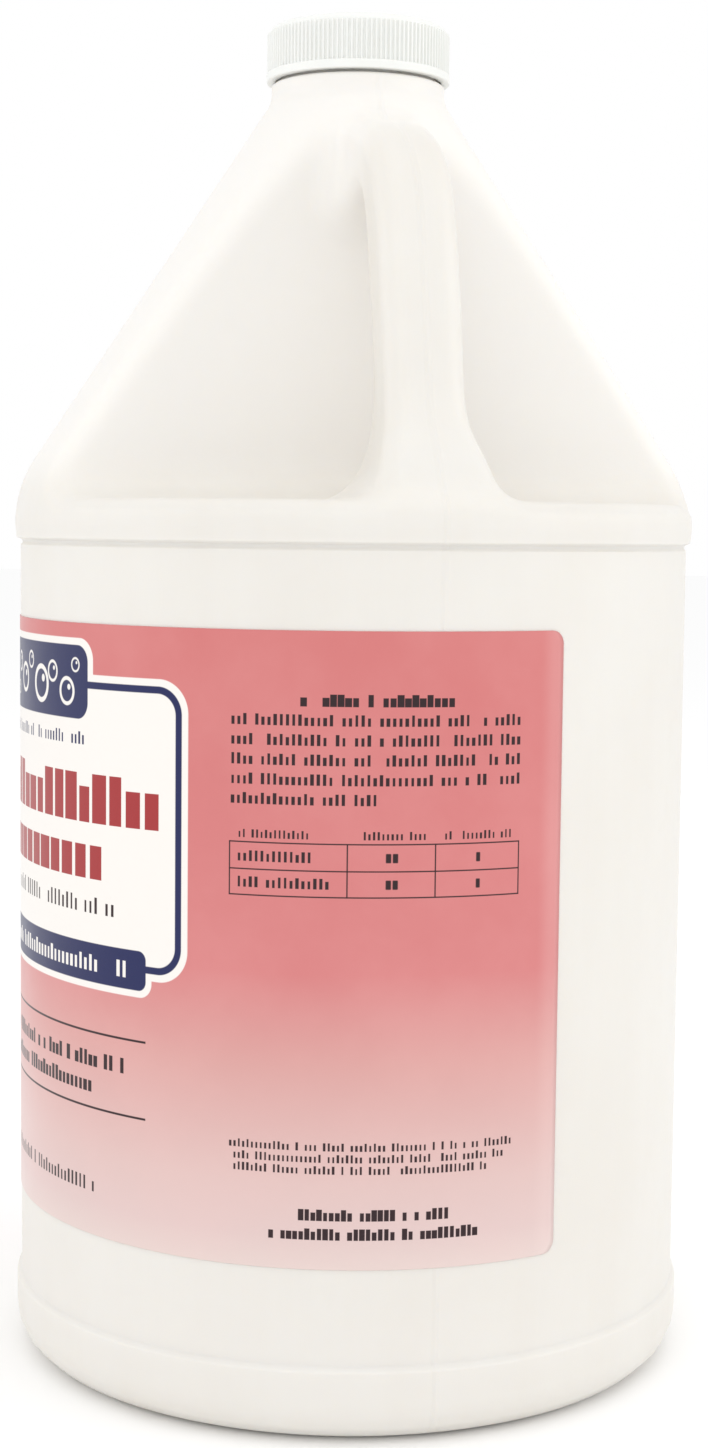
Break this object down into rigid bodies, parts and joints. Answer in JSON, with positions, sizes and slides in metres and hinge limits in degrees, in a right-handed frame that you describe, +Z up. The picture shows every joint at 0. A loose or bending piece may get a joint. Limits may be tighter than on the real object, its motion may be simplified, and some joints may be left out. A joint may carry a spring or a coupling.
{
  "type": "shampoo bottle",
  "caption": "Round handled bottle with a cone shoulder, a ribbed screw cap with a foam liner, and a wrap-round label on a straight panel.",
  "frame": {"origin": "middle of the foot, on the plane the bottle stands on", "axes": "+Z up along the bottle and neck axis, +X towards the handle"},
  "size_m": [0.1548, 0.1548, 0.3013],
  "materials": {
    "bottle_plastic": "satin",
    "cap_plastic": "satin",
    "liner_foam": "matt",
    "label_film": "semi-gloss film"
  },
  "bodies": {
    "bottle": {"bottle": "bottle_plastic", "label": "label_film"},
    "liner": {"cap_liner": "liner_foam"},
    "cap": {"cap": "cap_plastic"}
  },
  "joints": [
    {"name": "cap_rise", "type": "slide", "parent": "bottle", "child": "liner", "axis": [0, 0, 1], "range_m": [0, 0.01485]},
    {"name": "cap_turn", "type": "hinge", "parent": "liner", "child": "cap", "pos_m": [0, 0, 0.295], "axis": [0, 0, 1], "range_deg": [0, 1260]}
  ],
  "couplings": [
    {"joint": "cap_rise", "follows": "cap_turn", "m_per_rad": 0.0006737}
  ]
}
